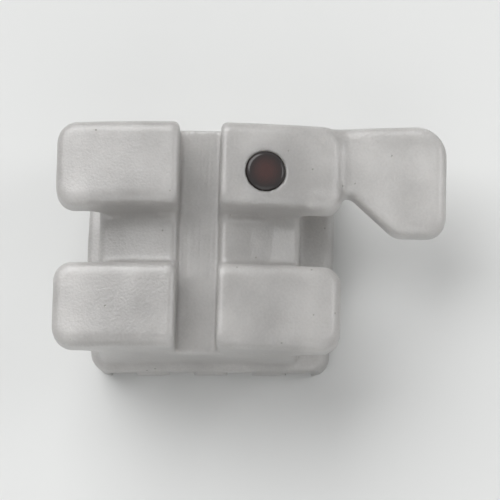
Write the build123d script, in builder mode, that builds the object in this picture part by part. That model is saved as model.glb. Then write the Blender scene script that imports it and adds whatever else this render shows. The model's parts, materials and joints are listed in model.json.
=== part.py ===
from build123d import *
import os
from math import asin, cos, degrees, radians, sin, sqrt, tan

# One-piece ceramic twin bracket for an upper right first premolar, with a colour dot.
# X runs along the archwire slot, with the distal side at -X.
# Y runs up the crown, with the gum side at +Y, and Z points out towards the cheek.
# The origin lies on the plane that the pad's rim stands on, under the middle of the slot.
# Lengths are millimetres and angles are degrees.

# Archwire slot, 0.022 by 0.030 inch
slot_width = 0.56
slot_depth = 0.76
slot_entry_radius = 0.08
slot_floor_to_base = 1.15
torque_angle = 7.0

# Bonding pad
pad_width = 3.26
pad_height = 3.4
pad_edge_bow = 0.08
pad_corner_radius = 0.26
pad_thickness = 0.45
pad_edge_radius = 0.12
pad_ledge = 0.33
crown_radius_across = 4.6
crown_radius_along = 11.0
rim_flat = 0.02

# Dovetail grooves that key the adhesive
groove_count = 4
groove_to_rim = 0.48
groove_mouth = 0.32
groove_root = 0.44
groove_depth = 0.22

# Tie wings
wing_overhang = 0.25
wings_width = 3.1
wing_corner_radius = 0.28
wing_inner_radius = 0.26
wing_face_drop = 0.26
wing_tip_thickness = 0.56
wing_tip_dip_angle = 10.0
wing_nose_radius = 0.17
wing_heel_radius = 0.12
undercut_radius = 0.18

# Gap between the twin wings
gap_width = 0.62
gap_floor_rise = 0.12
gap_floor_fall = 0.34
gap_floor_radius = 0.14
gap_draft = 3.0

# Hook on the distal wing of the gum side
hook_reach = 1.4
hook_inset = 0.06
hook_flare = 0.12
hook_arm_width = 0.86
hook_toe_length = 0.54
hook_toe_width = 0.7
hook_throat_gap = 0.1
hook_thickness = 0.58
hook_drop = 0.06
hook_bend_radius = 0.42
hook_throat_radius = 0.14
hook_toe_radius = 0.26
hook_edge_radius = 0.14

# Colour dot in its dimple
dot_diameter = 0.55
dot_depth = 0.12
dot_dome = 0.03
dot_from_middle = 0.87
dot_from_slot = 0.9

# Extra length on every cut
overrun = 1.0

os.makedirs("parts", exist_ok=True)

# The tooth side of the pad is part of a barrel round the crown's long axis.
# The rim's four lowest places are trimmed to one plane at Z zero.
half_pad_width = pad_width / 2
half_pad_height = pad_height / 2
straight_reach = half_pad_height - pad_corner_radius
barrel_shrink = crown_radius_along - sqrt(crown_radius_along**2 - straight_reach**2)
rim_radius = crown_radius_across - barrel_shrink
base_rise = crown_radius_across - sqrt(rim_radius**2 - half_pad_width**2) - rim_flat
crown_axis = Axis((0, 0, base_rise - crown_radius_across), (0, 1, 0))

# The slot opens along its own up direction, which leans towards the gum by the torque angle.
# The wing block and the hook are drawn level, with the slot floor at Z zero, and then set on this plane.
torque = radians(torque_angle)
slot_plane = Plane(
    origin=(0, 0, base_rise + slot_floor_to_base),
    x_dir=(1, 0, 0),
    z_dir=(0, sin(torque), cos(torque)),
)

# The pad stands out past the neck by its ledge, above and below, and the wing tips overhang both.
wing_span = pad_height + 2 * wing_overhang
half_span = wing_span / 2
half_neck = half_pad_height - pad_ledge
half_wings = wings_width / 2
tip_top = slot_depth - wing_face_drop
tip_under = tip_top - wing_tip_thickness
undercut_top = tip_under + (half_span - half_neck) * tan(radians(wing_tip_dip_angle))
block_bottom = -slot_floor_to_base - base_rise
above_wings = slot_depth + overrun


def barrel_profile(thickness):
    """Half section of the crown barrel, grown by a thickness, for a turn about the crown axis."""
    arc_radius = crown_radius_along + thickness
    arc_centre = base_rise - crown_radius_along
    shoulder = arc_centre + sqrt(arc_radius**2 - pad_height**2)
    axis_height = base_rise - crown_radius_across
    ThreePointArc((-pad_height, shoulder), (0, arc_centre + arc_radius), (pad_height, shoulder))
    Polyline(
        (pad_height, shoulder),
        (pad_height, axis_height),
        (-pad_height, axis_height),
        (-pad_height, shoulder),
    )


# Gap cutter: drafted walls, and a rounded floor that falls from the middle to the neck's outer faces
with BuildPart() as gap_cutter:
    floor_curve = (half_neck**2 + gap_floor_fall**2) / (2 * gap_floor_fall)
    floor_end = gap_floor_rise - floor_curve + sqrt(floor_curve**2 - half_span**2)
    cutter_foot = floor_end - gap_floor_fall
    gap_flare = (above_wings - cutter_foot) * tan(radians(gap_draft))
    with BuildSketch(Plane.XZ):
        with BuildLine():
            Polyline(
                (-gap_width / 2, cutter_foot),
                (gap_width / 2, cutter_foot),
                (gap_width / 2 + gap_flare, above_wings),
                (-gap_width / 2 - gap_flare, above_wings),
                close=True,
            )
        make_face()
    extrude(amount=wing_span, both=True)
    with BuildSketch(Plane.YZ):
        with BuildLine():
            ThreePointArc((-half_span, floor_end), (0, gap_floor_rise), (half_span, floor_end))
            Polyline(
                (half_span, floor_end),
                (half_span + overrun, floor_end),
                (half_span + overrun, above_wings),
                (-half_span - overrun, above_wings),
                (-half_span - overrun, floor_end),
                (-half_span, floor_end),
            )
        make_face()
    extrude(amount=wings_width, both=True, mode=Mode.INTERSECT)
    floor_edges = gap_cutter.faces().sort_by(Axis.Z)[:3].edges()
    fillet(floor_edges.filter_by(Axis.X, reverse=True), gap_floor_radius)

# Wing block: side profile across the bracket, then the gap, the round tips and the slot
with BuildPart() as wing_block:
    with BuildSketch(Plane.YZ) as side_profile:
        with BuildLine():
            Polyline(
                (0, block_bottom),
                (half_neck, block_bottom),
                (half_neck, undercut_top),
                (half_span, tip_under),
                (half_span, tip_top),
            )
            mirror(about=Plane.YZ)
            ThreePointArc((-half_span, tip_top), (0, slot_depth), (half_span, tip_top))
        make_face()
        undercut_roots = side_profile.vertices().group_by(Axis.Y)[2]
        fillet(undercut_roots, undercut_radius)
    extrude(amount=half_wings, both=True)
    add(gap_cutter.part, mode=Mode.SUBTRACT)
    end_edges = wing_block.edges().group_by(Axis.Y)
    tip_corners = (end_edges[0] + end_edges[-1]).filter_by(Axis.X, reverse=True).group_by(Axis.X)
    fillet(tip_corners[0] + tip_corners[-1], wing_corner_radius)
    end_edges = wing_block.edges().group_by(Axis.Y)
    tip_corners = (end_edges[0] + end_edges[-1]).filter_by(Axis.X, reverse=True).group_by(Axis.X)
    fillet(tip_corners[1] + tip_corners[-2], wing_inner_radius)
    outer_faces = wing_block.faces().sort_by(Axis.Z)[-2:]
    fillet(outer_faces.edges(), wing_nose_radius)
    cross_edges = wing_block.edges().filter_by(Axis.X).group_by(Axis.Y)
    heel_edges = cross_edges[0].group_by(Axis.Z)[0] + cross_edges[-1].group_by(Axis.Z)[0]
    fillet(heel_edges, wing_heel_radius)
    with BuildSketch(Plane.YZ):
        with Locations((0, above_wings / 2)):
            Rectangle(slot_width, above_wings)
    extrude(amount=wings_width, both=True, mode=Mode.SUBTRACT)
    slot_lips = wing_block.edges().filter_by(Axis.X).group_by(Axis.Z)[-1]
    fillet(slot_lips, slot_entry_radius)

# Hook: a thick arm that leaves the wing tip, and a toe that slants out from it towards the middle
with BuildPart() as hook:
    hook_top = half_span + hook_reach
    toe_bottom = hook_top - hook_toe_width
    arm_outer = hook_inset - half_wings
    arm_inner = arm_outer + hook_arm_width
    throat_start = half_span + hook_throat_gap
    toe_end = arm_inner + hook_toe_length
    with BuildSketch(Plane.XY.offset(tip_top - hook_drop - hook_thickness)) as hook_outline:
        with BuildLine():
            Polyline(
                (arm_outer, half_neck / 2),
                (arm_outer - hook_flare, hook_top),
                (toe_end, hook_top),
                (toe_end, toe_bottom),
                (arm_inner, throat_start),
                (arm_inner, half_neck / 2),
                close=True,
            )
        make_face()
        throat_corner = hook_outline.vertices().group_by(Axis.Y)[1].sort_by(Axis.X)[0]
        fillet(throat_corner, hook_throat_radius)
        bend_corner = hook_outline.vertices().group_by(Axis.Y)[-1].sort_by(Axis.X)[0]
        fillet(bend_corner, hook_bend_radius)
        toe_corners = hook_outline.vertices().sort_by(Axis.X)[-2:]
        fillet(toe_corners, hook_toe_radius)
    extrude(amount=hook_thickness)
    fillet(hook.faces().filter_by(Axis.Z).edges(), hook_edge_radius)

# The dimple stands square to the curved outer face of its wing.
face_radius = (half_span**2 + wing_face_drop**2) / (2 * wing_face_drop)
dot_angle = asin(dot_from_slot / face_radius)
dot_height = slot_depth - face_radius + face_radius * cos(dot_angle)
dot_spot = Location((-dot_from_middle, dot_from_slot, dot_height), (-degrees(dot_angle), 0, 0))
dot_plane = Plane(slot_plane.location * dot_spot)

# Body: pad, wings and hook, hollowed by the crown barrel, then grooved and dimpled
with BuildPart() as bracket_body:
    with BuildSketch() as pad_outline:
        with BuildLine():
            corner_reach = half_pad_height - pad_edge_bow
            ThreePointArc(
                (-half_pad_width, corner_reach),
                (0, half_pad_height),
                (half_pad_width, corner_reach),
            )
            Line((half_pad_width, corner_reach), (half_pad_width, -corner_reach))
            ThreePointArc(
                (half_pad_width, -corner_reach),
                (0, -half_pad_height),
                (-half_pad_width, -corner_reach),
            )
            Line((-half_pad_width, -corner_reach), (-half_pad_width, corner_reach))
        make_face()
        fillet(pad_outline.vertices(), pad_corner_radius)
    extrude(amount=base_rise + pad_thickness)
    with BuildSketch(Plane.YZ):
        with BuildLine():
            barrel_profile(pad_thickness)
        make_face()
    revolve(axis=crown_axis, mode=Mode.INTERSECT)
    fillet(bracket_body.faces().sort_by(Axis.Z)[-1].edges(), pad_edge_radius)
    with Locations(slot_plane.location):
        add(wing_block.part)
        add(hook.part)
    with BuildSketch(Plane.YZ):
        with BuildLine():
            barrel_profile(0)
        make_face()
    revolve(axis=crown_axis, mode=Mode.SUBTRACT)
    groove_pitch = (pad_height - 2 * groove_to_rim) / (groove_count - 1)
    groove_step = degrees(groove_pitch / crown_radius_along)
    groove_sweep = groove_step * (groove_count - 1)
    with BuildSketch(Plane.YZ):
        with Locations((0, base_rise - crown_radius_along)):
            with PolarLocations(
                crown_radius_along,
                groove_count,
                start_angle=90 - groove_sweep / 2,
                angular_range=groove_sweep,
                endpoint=True,
            ):
                Polygon(
                    (-overrun, -groove_mouth / 2),
                    (0, -groove_mouth / 2),
                    (groove_depth, -groove_root / 2),
                    (groove_depth, groove_root / 2),
                    (0, groove_mouth / 2),
                    (-overrun, groove_mouth / 2),
                    align=None,
                )
    revolve(axis=crown_axis, mode=Mode.SUBTRACT)
    with BuildSketch(dot_plane.offset(-dot_depth)):
        Circle(dot_diameter / 2)
    extrude(amount=dot_depth + overrun, mode=Mode.SUBTRACT)

# Colour dot: a drop of dark glaze with a low dome, seated in the dimple
with BuildPart() as id_dot:
    with BuildSketch(Plane(origin=dot_plane.origin, x_dir=dot_plane.x_dir, z_dir=-dot_plane.y_dir)):
        with BuildLine():
            Polyline((0, dot_dome), (0, -dot_depth), (dot_diameter / 2, -dot_depth), (dot_diameter / 2, 0))
            TangentArc((0, dot_dome), (dot_diameter / 2, 0), tangent=(1, 0), tangent_from_first=True)
        make_face()
    revolve(axis=Axis(dot_plane.origin, dot_plane.z_dir))

bracket_body.part.label = "bracket_body"
id_dot.part.label = "id_dot"
export_step(bracket_body.part, "parts/bracket_body.step")
export_step(id_dot.part, "parts/id_dot.step")
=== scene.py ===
import json
import math
import bmesh
import bpy
from mathutils import Matrix, Vector, noise

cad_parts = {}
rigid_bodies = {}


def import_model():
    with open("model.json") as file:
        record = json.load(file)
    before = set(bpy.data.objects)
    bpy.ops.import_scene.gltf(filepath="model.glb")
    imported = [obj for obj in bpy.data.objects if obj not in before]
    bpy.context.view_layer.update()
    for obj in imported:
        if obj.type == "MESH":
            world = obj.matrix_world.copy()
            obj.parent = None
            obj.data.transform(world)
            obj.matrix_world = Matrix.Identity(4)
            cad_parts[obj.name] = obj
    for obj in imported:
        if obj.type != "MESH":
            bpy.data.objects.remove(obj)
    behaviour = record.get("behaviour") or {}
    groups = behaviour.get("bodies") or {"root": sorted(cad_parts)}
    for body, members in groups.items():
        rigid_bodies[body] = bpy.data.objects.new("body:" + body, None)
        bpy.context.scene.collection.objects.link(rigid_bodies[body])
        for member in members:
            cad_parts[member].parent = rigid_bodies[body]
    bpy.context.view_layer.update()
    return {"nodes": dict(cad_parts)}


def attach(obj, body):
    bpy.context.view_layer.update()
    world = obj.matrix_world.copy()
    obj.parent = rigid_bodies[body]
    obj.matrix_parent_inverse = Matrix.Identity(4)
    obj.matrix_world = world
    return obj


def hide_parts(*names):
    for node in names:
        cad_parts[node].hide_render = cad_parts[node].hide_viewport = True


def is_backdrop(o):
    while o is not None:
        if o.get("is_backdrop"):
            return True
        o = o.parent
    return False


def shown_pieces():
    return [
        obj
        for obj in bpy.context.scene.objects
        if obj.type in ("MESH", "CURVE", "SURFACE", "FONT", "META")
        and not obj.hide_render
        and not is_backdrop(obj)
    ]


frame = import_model()
mm = 0.001  # one millimetre in Blender's metres
bodyName = "root"  # the bracket has no joint, so every piece rides on this one
print("frame loaded")


def linearColour(hexText):
    # sRGB hex to the linear values that Blender's sockets take, with a full alpha
    channels = [int(hexText[i:i + 2], 16) / 255 for i in (1, 3, 5)]
    return [c / 12.92 if c <= 0.04045 else ((c + 0.055) / 1.055) ** 2.4 for c in channels] + [1.0]


def addNode(tree, kind, settings=None, links=None):
    # one node with its settings and links: a setting goes to the input that has its name or
    # number, else to the property
    node = tree.nodes.new(kind)
    for name, value in (settings or {}).items():
        if isinstance(name, int) or name in node.inputs:
            node.inputs[name].default_value = value
        else:
            setattr(node, name, value)
    for name, source in (links or {}).items():
        tree.links.new(source, node.inputs[name])
    return node


def newMaterial(name):
    material = bpy.data.materials.new(name)
    material.use_nodes = True
    material.node_tree.nodes.clear()
    return material, material.node_tree


def perMetre(sizeInMm):
    return 1.0 / (sizeInMm * mm)  # texture scale whose pattern repeats about once in that size


def softStep(x):
    x = min(max(x, 0.0), 1.0)
    return x * x * (3 - 2 * x)


# Fired translucent alumina: injection moulded, sintered and tumbled.
# It looks frosted and milky white, lets light into its edges, and has a fine grain and a few
# pinhead pores.
aluminaFinish = {
    "clear": "#c2c0be",  # where the body is dense and lets more light in
    "cloudy": "#e0dedc",  # faint milky clouds left by the firing
    "cloudSize": 0.6,  # sizes, heights and depths are in mm
    "cloudEdges": (0.15, 0.85),  # a narrower pair gives the clouds harder edges
    "speckle": 0.3,  # how much the grains vary in shade, beside the clouds
    "grainSize": 0.034,  # real grains are near 0.01 mm, drawn coarser so that they show
    "grainHeight": 0.0045,
    "poreSpacing": 0.2,
    "poreSize": 0.036,  # real pores are near 0.01 mm, drawn coarser so that they show
    "poreBottom": 0.4,  # share of a pore's radius that is its full depth
    "poreDepth": 0.007,
    "poreShare": 0.4,  # share of the places that hold a pore
    # painted shade: the pits are darkened in colour for the shade that falls into them
    "paintedPoreShade": "#a5a29c",
    "groundLineSpacing": 0.07,  # finishing leaves lines along the slot, real ones 0.02 mm apart
    "groundLineHeight": 0.007,
    "groundLineStretch": 50.0,  # how many times longer than wide the lines are
    "baseGritSize": 0.06,  # rough keyed surface on the tooth side
    "baseGritHeight": 0.012,
    "roughness": (0.29, 0.38),  # frosted by tumbling, glossier where the body is dense
    "baseRoughness": 0.3,  # what the tooth side has more
    "milkiness": 0.75,  # how much of the light that stays inside is scattered there
    "clarity": 0.5,  # share of the light that passes through
    "lightDepth": 0.3,  # how far the scattered light spreads
}


def makeAlumina(finish):
    material, tree = newMaterial("translucent sintered alumina")
    place = addNode(tree, "ShaderNodeTexCoord").outputs["Object"]
    clouds = addNode(tree, "ShaderNodeTexNoise", {
        "Scale": perMetre(finish["cloudSize"]), "Detail": 2.0, "Roughness": 0.45,
    }, {"Vector": place})
    grain = addNode(tree, "ShaderNodeTexNoise", {
        "Scale": perMetre(finish["grainSize"]), "Detail": 1.0,
    }, {"Vector": place})
    speckled = addNode(tree, "ShaderNodeMath", {"operation": "MULTIPLY_ADD", 1: finish["speckle"]},
                       {0: grain.outputs["Fac"], 2: clouds.outputs["Fac"]})
    tint = addNode(tree, "ShaderNodeValToRGB", links={"Fac": speckled.outputs["Value"]})
    tint.color_ramp.interpolation = "EASE"
    stops = zip(tint.color_ramp.elements, finish["cloudEdges"], ("clear", "cloudy"))
    for stop, edge, shade in stops:
        stop.position = edge + finish["speckle"] / 2
        stop.color = linearColour(finish[shade])

    # pores: a small pit at the middle of some of the pattern's cells, bumped in and darkened with
    # painted shade
    cells = addNode(tree, "ShaderNodeTexVoronoi", {"Scale": perMetre(finish["poreSpacing"])},
                    {"Vector": place})
    poreReach = finish["poreSize"] / finish["poreSpacing"] / 2
    pit = addNode(tree, "ShaderNodeMapRange", {
        "interpolation_type": "SMOOTHSTEP", "From Min": poreReach * finish["poreBottom"],
        "From Max": poreReach, "To Min": 1.0, "To Max": 0.0,
    }, {"Value": cells.outputs["Distance"]})
    dice = addNode(tree, "ShaderNodeSeparateColor", links={"Color": cells.outputs["Color"]})
    chosen = addNode(tree, "ShaderNodeMath", {"operation": "LESS_THAN", 1: finish["poreShare"]},
                     {0: dice.outputs["Red"]})
    pore = addNode(tree, "ShaderNodeMath", {"operation": "MULTIPLY"},
                   {0: pit.outputs["Result"], 1: chosen.outputs["Value"]})
    # the pits' darker colour is painted shade in the recess, not a stain
    colour = addNode(tree, "ShaderNodeMix", {
        "data_type": "RGBA", 7: linearColour(finish["paintedPoreShade"]),
    }, {0: pore.outputs["Value"], 6: tint.outputs["Color"]})

    # grain all over, ground lines inside the slot, grit on the tooth side
    stretched = addNode(tree, "ShaderNodeMapping", {
        "Scale": (1 / finish["groundLineStretch"], 1.0, 1.0),
    }, {"Vector": place})
    lines = addNode(tree, "ShaderNodeTexNoise", {
        "Scale": perMetre(finish["groundLineSpacing"]), "Detail": 1.0,
    }, {"Vector": stretched.outputs["Vector"]})
    inSlot = addNode(tree, "ShaderNodeAttribute", {"attribute_name": "inSlot"})
    onBase = addNode(tree, "ShaderNodeAttribute", {"attribute_name": "onBase"})
    grit = addNode(tree, "ShaderNodeTexVoronoi", {
        "Scale": perMetre(finish["baseGritSize"]), "feature": "SMOOTH_F1",
    }, {"Vector": place})
    poreBump = addNode(tree, "ShaderNodeBump", {
        "Distance": finish["poreDepth"] * mm, "invert": True,
    }, {"Height": pore.outputs["Value"]})
    grainBump = addNode(tree, "ShaderNodeBump", {"Distance": finish["grainHeight"] * mm}, {
        "Height": grain.outputs["Fac"], "Normal": poreBump.outputs["Normal"]})
    lineBump = addNode(tree, "ShaderNodeBump", {"Distance": finish["groundLineHeight"] * mm}, {
        "Height": lines.outputs["Fac"], "Strength": inSlot.outputs["Fac"],
        "Normal": grainBump.outputs["Normal"]})
    gritBump = addNode(tree, "ShaderNodeBump", {"Distance": finish["baseGritHeight"] * mm}, {
        "Height": grit.outputs["Distance"], "Strength": onBase.outputs["Fac"],
        "Normal": lineBump.outputs["Normal"]})

    # tumbled faces are frosted, and the base is dull
    glossy, frosted = finish["roughness"]
    gloss = addNode(tree, "ShaderNodeMapRange", {
        "From Min": 0.2, "From Max": 0.8, "To Min": glossy, "To Max": frosted,
    }, {"Value": clouds.outputs["Fac"]})
    dull = addNode(tree, "ShaderNodeMath", {
        "operation": "MULTIPLY_ADD", 1: finish["baseRoughness"],
    }, {0: onBase.outputs["Fac"], 2: gloss.outputs["Result"]})
    shader = addNode(tree, "ShaderNodeBsdfPrincipled", {
        "IOR": 1.77, "Metallic": 0.0, "Transmission Weight": finish["clarity"],
        "Subsurface Weight": finish["milkiness"], "Subsurface Radius": (1.0, 0.98, 0.95),
        "Subsurface Scale": finish["lightDepth"] * mm,
    }, {"Base Color": colour.outputs[2], "Roughness": dull.outputs["Value"],
        "Normal": gritBump.outputs["Normal"]})
    addNode(tree, "ShaderNodeOutputMaterial", links={"Surface": shader.outputs["BSDF"]})
    return material


# Body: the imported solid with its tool-sharp creases fired round, and the hook's root blended
# into its wing. Sizes are in mm.
ceramicBody = {
    "skinStep": 0.029,  # size of one face of the new skin
    "weldStep": 0.0005,
    "roundingPasses": 4,
    "slotFloor": 1.5299,  # height of the middle of the archwire slot's floor
    "slotLean": 7.0,  # degrees towards the gum
    "hookBlendPasses": 40,
    "hookBlendAt": 1.93,  # height of the hook's root over the slot's middle line
    "hookBlendReach": 0.34,
    "hookBlendEdge": -0.5,  # the blend stops before the gap between the wings
    "hookBlendFade": 0.2,
    "waveHeight": 0.0022,  # slight unevenness from shrinkage in the kiln
    "waveLength": 0.42,
    "slotReach": 0.34,  # ground lines are drawn this far each side of the slot's middle line
    "slotTop": 0.74,
    "slotFade": 0.06,
    "baseTurn": 0.25,  # how far a face has to look down to count as the tooth side
    "baseTurnFade": 0.4,
    "baseTop": 0.75,
    "baseTopFade": 0.1,
    "keyHeight": 0.012,  # rough skin that the adhesive keys into, on the tooth side only
    "keyLength": 0.075,
}


def hookBlendWeight(settings, place):
    # 1 along the hook's root, down to 0 at its reach and at the edge of the gap
    away = abs(place.y - settings["hookBlendAt"])
    weight = softStep(1 - away / settings["hookBlendReach"])
    return weight * softStep((settings["hookBlendEdge"] - place.x) / settings["hookBlendFade"])


def makeCeramicBody(settings, material):
    # from the bracket's frame to the slot's own
    slotTurn = Matrix.Rotation(-math.radians(settings["slotLean"]), 4, "X")
    intoSlot = (Matrix.Translation((0, 0, settings["slotFloor"])) @ slotTurn).inverted()

    # worked in millimetres, because the remesh takes no step as small as this skin's in metres
    mesh = frame["nodes"]["bracket_body"].data.copy()
    mesh.transform(Matrix.Scale(1 / mm, 4))
    mesh.materials.clear()
    shaping = bpy.data.objects.new("shaping", mesh)
    bpy.context.scene.collection.objects.link(shaping)
    welded = bmesh.new()
    welded.from_mesh(mesh)
    bmesh.ops.remove_doubles(welded, verts=welded.verts, dist=settings["weldStep"])
    welded.to_mesh(mesh)
    welded.free()
    skin = shaping.modifiers.new("skin", "REMESH")
    skin.mode = "VOXEL"
    skin.voxel_size = settings["skinStep"]
    rounding = shaping.modifiers.new("fired edges", "SMOOTH")
    rounding.factor = 0.5
    rounding.iterations = settings["roundingPasses"]
    ready = shaping.evaluated_get(bpy.context.evaluated_depsgraph_get())
    made = bpy.data.meshes.new_from_object(ready)
    bpy.data.objects.remove(shaping)

    piece = bpy.data.objects.new("ceramicBody", made)
    bpy.context.scene.collection.objects.link(piece)
    blendGroup = piece.vertex_groups.new(name="hookRoot")
    for vertex in made.vertices:
        weight = hookBlendWeight(settings, intoSlot @ vertex.co)
        if weight > 0:
            blendGroup.add([vertex.index], weight, "REPLACE")
    blend = piece.modifiers.new("hook root", "SMOOTH")
    blend.factor = 0.5
    blend.iterations = settings["hookBlendPasses"]
    blend.vertex_group = "hookRoot"
    ready = piece.evaluated_get(bpy.context.evaluated_depsgraph_get())
    blended = bpy.data.meshes.new_from_object(ready)
    piece.modifiers.clear()
    piece.vertex_groups.clear()
    piece.data = blended

    # masks for the material, then the small waves and the keyed tooth side
    slotMask, baseMask, moved = [], [], []
    places = [vertex.co.copy() for vertex in blended.vertices]
    normals = [vertex.normal.copy() for vertex in blended.vertices]
    for place, normal in zip(places, normals):
        inSlot = intoSlot @ place
        slotMask.append(softStep((settings["slotReach"] - abs(inSlot.y)) / settings["slotFade"])
                        * softStep((settings["slotTop"] - inSlot.z) / settings["slotFade"])
                        * softStep((inSlot.z + settings["slotFade"]) / settings["slotFade"]))
        baseMask.append(softStep((-normal.z - settings["baseTurn"]) / settings["baseTurnFade"])
                        * softStep((settings["baseTop"] - place.z) / settings["baseTopFade"]))
        lift = noise.noise(place / settings["waveLength"]) * settings["waveHeight"]
        keying = abs(noise.noise(place / settings["keyLength"]))
        lift -= keying * settings["keyHeight"] * baseMask[-1]
        moved.extend(place + normal * lift)
    blended.attributes.new("inSlot", "FLOAT", "POINT").data.foreach_set("value", slotMask)
    blended.attributes.new("onBase", "FLOAT", "POINT").data.foreach_set("value", baseMask)
    blended.vertices.foreach_set("co", moved)
    blended.transform(Matrix.Scale(mm, 4))
    blended.materials.append(material)
    blended.shade_smooth()
    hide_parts("bracket_body")
    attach(piece, bodyName)
    print("ceramic body:", len(blended.polygons), "faces")


makeCeramicBody(ceramicBody, makeAlumina(aluminaFinish))

# Cured resin colour: a drop dabbed into the dimple by hand and hardened.
# It looks dark and wet, with a blacker rim and a faint cloud of pigment in its middle.
dotFinish = {
    "middle": "#3b1f1c",
    "rim": "#180f0f",  # the pigment gathers at the edge as the drop dries
    "rimStart": 0.45,  # where it starts to darken, as a share of the radius
    "pigmentSize": 0.05,  # in mm, and so is its height
    "pigmentSwing": 0.35,  # how far the pigment's clouds shift that start
    "pigmentHeight": 0.002,
    "roughness": (0.14, 0.24),
}
# Sizes are in mm
colourDot = {
    "spokes": 96,
    "rings": 14,
    "wallRings": 3,
    "dimpleDepth": 0.12,
    "dome": 0.028,  # how far the drop stands over its edge
    "rimBulge": 0.006,  # a dried drop is a little thicker just inside its edge
    "bulgeStart": 0.55,  # shares of the radius
    "bulgeRise": 0.25,
    "bulgeFall": 0.15,
    "edgeTuck": 0.03,  # how deep the edge sits in the dimple
    "edgeStart": 0.84,
    "edgeWander": 0.022,  # share of the radius by which the edge strays from a circle
    "wanderTurns": 1.3,  # how often it strays on the way round
    "wanderPick": 4.0,  # another number gives another outline
}


def makeDotColour(finish, centre, radius):
    material, tree = newMaterial("cured resin colour")
    place = addNode(tree, "ShaderNodeTexCoord").outputs["Object"]
    fromCentre = addNode(tree, "ShaderNodeVectorMath", {"operation": "DISTANCE", 1: centre},
                         {0: place})
    share = addNode(tree, "ShaderNodeMath", {"operation": "DIVIDE", 1: radius},
                    {0: fromCentre.outputs["Value"]})
    pigment = addNode(tree, "ShaderNodeTexNoise", {
        "Scale": perMetre(finish["pigmentSize"]), "Detail": 3.0,
    }, {"Vector": place})
    uneven = addNode(tree, "ShaderNodeMath", {
        "operation": "MULTIPLY_ADD", 1: finish["pigmentSwing"],
    }, {0: pigment.outputs["Fac"], 2: share.outputs["Value"]})
    tint = addNode(tree, "ShaderNodeValToRGB", links={"Fac": uneven.outputs["Value"]})
    stops = zip(tint.color_ramp.elements, (finish["rimStart"], 1.0), ("middle", "rim"))
    for stop, position, shade in stops:
        stop.position = position
        stop.color = linearColour(finish[shade])
    bump = addNode(tree, "ShaderNodeBump", {
        "Strength": 0.4, "Distance": finish["pigmentHeight"] * mm,
    }, {"Height": pigment.outputs["Fac"]})
    wet, dry = finish["roughness"]
    gloss = addNode(tree, "ShaderNodeMapRange", {
        "From Min": 0.3, "From Max": 0.7, "To Min": wet, "To Max": dry,
    }, {"Value": pigment.outputs["Fac"]})
    shader = addNode(tree, "ShaderNodeBsdfPrincipled", {"IOR": 1.52, "Metallic": 0.0}, {
        "Base Color": tint.outputs["Color"], "Roughness": gloss.outputs["Result"],
        "Normal": bump.outputs["Normal"]})
    addNode(tree, "ShaderNodeOutputMaterial", links={"Surface": shader.outputs["BSDF"]})
    return material


def dropHeight(settings, share):
    # how high the drop stands over its edge, at a share of its radius
    height = settings["dome"] * (1 - share * share)
    rise = softStep((share - settings["bulgeStart"]) / settings["bulgeRise"])
    height += settings["rimBulge"] * rise * softStep((1 - share) / settings["bulgeFall"])
    tuck = softStep((share - settings["edgeStart"]) / (1 - settings["edgeStart"]))
    return height - settings["edgeTuck"] * tuck ** 2


def makeColourDot(settings):
    # the CAD dot gives the place, size and axis: its largest face is the dimple's flat bottom
    packed = frame["nodes"]["id_dot"].data
    axis = -max(packed.polygons, key=lambda face: face.area).normal
    turn = Vector((0, 0, 1)).rotation_difference(axis).to_matrix()
    points = [turn.transposed() @ vertex.co / mm for vertex in packed.vertices]
    middle = Vector([(min(p[i] for p in points) + max(p[i] for p in points)) / 2 for i in range(2)])
    radius = (max(p.x for p in points) - min(p.x for p in points)) / 2
    floorLevel = min(p.z for p in points)
    edgeLevel = floorLevel + settings["dimpleDepth"]

    # rings from the middle to the edge, then down the wall to the bottom
    dot = bmesh.new()
    loops = []
    for ring in range(1, settings["rings"] + settings["wallRings"] + 1):
        share = min(ring / settings["rings"], 1.0)
        height = edgeLevel + dropHeight(settings, share)
        if ring > settings["rings"]:
            wallShare = (ring - settings["rings"]) / settings["wallRings"]
            height -= (height - floorLevel) * wallShare
        loop = []
        for spoke in range(settings["spokes"]):
            angle = 2 * math.pi * spoke / settings["spokes"]
            across, along = math.cos(angle), math.sin(angle)
            turns = settings["wanderTurns"]
            stray = noise.noise((across * turns, along * turns, settings["wanderPick"]))
            reach = radius * share * (1 + stray * settings["edgeWander"] * share)
            place = Vector((middle.x + reach * across, middle.y + reach * along, height))
            loop.append(dot.verts.new(turn @ place * mm))
        loops.append(loop)
    top = dot.verts.new(turn @ Vector((middle.x, middle.y, edgeLevel + settings["dome"])) * mm)
    for i in range(settings["spokes"]):
        j = (i + 1) % settings["spokes"]
        dot.faces.new((top, loops[0][i], loops[0][j]))
        for inner, outer in zip(loops, loops[1:]):
            dot.faces.new((inner[i], outer[i], outer[j], inner[j]))
    dot.faces.new(list(reversed(loops[-1])))
    mesh = bpy.data.meshes.new("colourDot")
    dot.to_mesh(mesh)
    dot.free()
    mesh.shade_smooth()
    piece = bpy.data.objects.new("colourDot", mesh)
    bpy.context.scene.collection.objects.link(piece)
    centre = turn @ Vector((middle.x, middle.y, edgeLevel)) * mm
    mesh.materials.append(makeDotColour(dotFinish, centre, radius * mm))
    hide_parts("id_dot")
    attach(piece, bodyName)
    print("colour dot:", round(radius * 2, 3), "mm across")


makeColourDot(colourDot)

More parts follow.
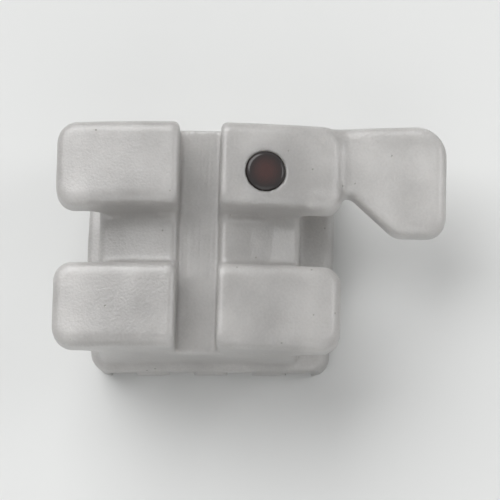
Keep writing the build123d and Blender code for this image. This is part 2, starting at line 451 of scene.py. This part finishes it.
# Studio: pale floor, soft lamps and a long lens at the photograph's angle
studio = {
    "floorColour": "#e4e5e4",
    "floorSize": 4.0,  # metres
    "skyColour": "#f1f2f2",
    "skyLight": 0.36,
    "lamps": {
        # name: (direction that it shines from, its width in degrees, watts a square metre)
        "keyLight": ((-80, -50, 95), 58, 2.25),
        "fillLight": ((100, 20, 70), 60, 0.45),
        "edgeLight": ((-20, 90, 60), 25, 0.4),
    },
}
cameraPlan = {
    "leanToFront": 10.0,  # degrees off straight above, towards the picture's lower edge
    "leanToRight": 8.0,  # so the gum side's walls show a little too
    "lens": 320.0,
    "fill": 0.78,  # share of the frame that the bracket's longer side takes
    "nearest": 0.001,  # metres
}


def makeFloor(settings):
    half = settings["floorSize"] / 2
    floorMesh = bpy.data.meshes.new("floor")
    corners = [(-half, -half, 0), (half, -half, 0), (half, half, 0), (-half, half, 0)]
    floorMesh.from_pydata(corners, [], [(0, 1, 2, 3)])
    floor = bpy.data.objects.new("floor", floorMesh)
    bpy.context.scene.collection.objects.link(floor)
    # matt paper, pressed and uncoated: an even pale ground with no gloss
    material, tree = newMaterial("matt paper floor")
    shader = addNode(tree, "ShaderNodeBsdfPrincipled", {
        "Base Color": linearColour(settings["floorColour"]), "Roughness": 0.9})
    addNode(tree, "ShaderNodeOutputMaterial", links={"Surface": shader.outputs["BSDF"]})
    floorMesh.materials.append(material)
    floor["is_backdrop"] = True


def makeSky(settings):
    # the pale sky is what the camera, gloss and clear parts see, and a dimmer one lights the scene
    world = bpy.data.worlds.new("studio")
    world.use_nodes = True
    tree = world.node_tree
    tree.nodes.clear()
    rays = addNode(tree, "ShaderNodeLightPath")
    direct = addNode(tree, "ShaderNodeMath", {"operation": "MAXIMUM"},
                     {0: rays.outputs["Is Camera Ray"], 1: rays.outputs["Is Glossy Ray"]})
    seen = addNode(tree, "ShaderNodeMath", {"operation": "MAXIMUM"},
                   {0: direct.outputs["Value"], 1: rays.outputs["Is Transmission Ray"]})
    lighting = addNode(tree, "ShaderNodeBackground", {
        "Color": (1, 1, 1, 1), "Strength": settings["skyLight"]})
    backdrop = addNode(tree, "ShaderNodeBackground", {
        "Color": linearColour(settings["skyColour"]), "Strength": 1.0})
    mixed = addNode(tree, "ShaderNodeMixShader", links={
        0: seen.outputs["Value"], 1: lighting.outputs["Background"],
        2: backdrop.outputs["Background"]})
    addNode(tree, "ShaderNodeOutputWorld", links={"Surface": mixed.outputs["Shader"]})
    bpy.context.scene.world = world


def makeLamps(settings):
    # soft distant lamps, so that the floor is as bright far off as it is near
    for name, (origin, width, strength) in settings["lamps"].items():
        lamp = bpy.data.lights.new(name, "SUN")
        lamp.angle = math.radians(width)
        lamp.energy = strength
        holder = bpy.data.objects.new(name, lamp)
        holder.location = Vector(origin) * mm
        holder.rotation_euler = (-Vector(origin)).to_track_quat("-Z", "Y").to_euler()
        bpy.context.scene.collection.objects.link(holder)


def makeCamera(plan):
    # the gum side is level to the picture's right, and the distal side is up
    front, right = [math.tan(math.radians(plan[key])) for key in ("leanToFront", "leanToRight")]
    towards = Vector((front, right, 1)).normalized()
    rightward = Vector((0, 1, 0))
    rightward = (rightward - towards * rightward.dot(towards)).normalized()
    upward = towards.cross(rightward)
    points = [piece.matrix_world @ v.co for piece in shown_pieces() for v in piece.data.vertices]
    centre = Vector()
    spans = []
    for direction in (rightward, upward, towards):
        reach = [point.dot(direction) for point in points]
        centre += direction * (min(reach) + max(reach)) / 2
        spans.append(max(reach) - min(reach))
    camera = bpy.data.cameras.new("camera")
    camera.lens = plan["lens"]
    camera.clip_start = plan["nearest"]
    distance = max(spans[:2]) / plan["fill"] * camera.lens / camera.sensor_width
    holder = bpy.data.objects.new("camera", camera)
    holder.location = centre + towards * distance
    holder.rotation_euler = Matrix((rightward, upward, towards)).transposed().to_euler()
    bpy.context.scene.collection.objects.link(holder)
    bpy.context.scene.camera = holder
    print("camera at", [round(c, 4) for c in holder.location])


makeFloor(studio)
makeSky(studio)
makeLamps(studio)
print("studio ready")
makeCamera(cameraPlan)
bpy.context.scene.view_settings.view_transform = "Standard"
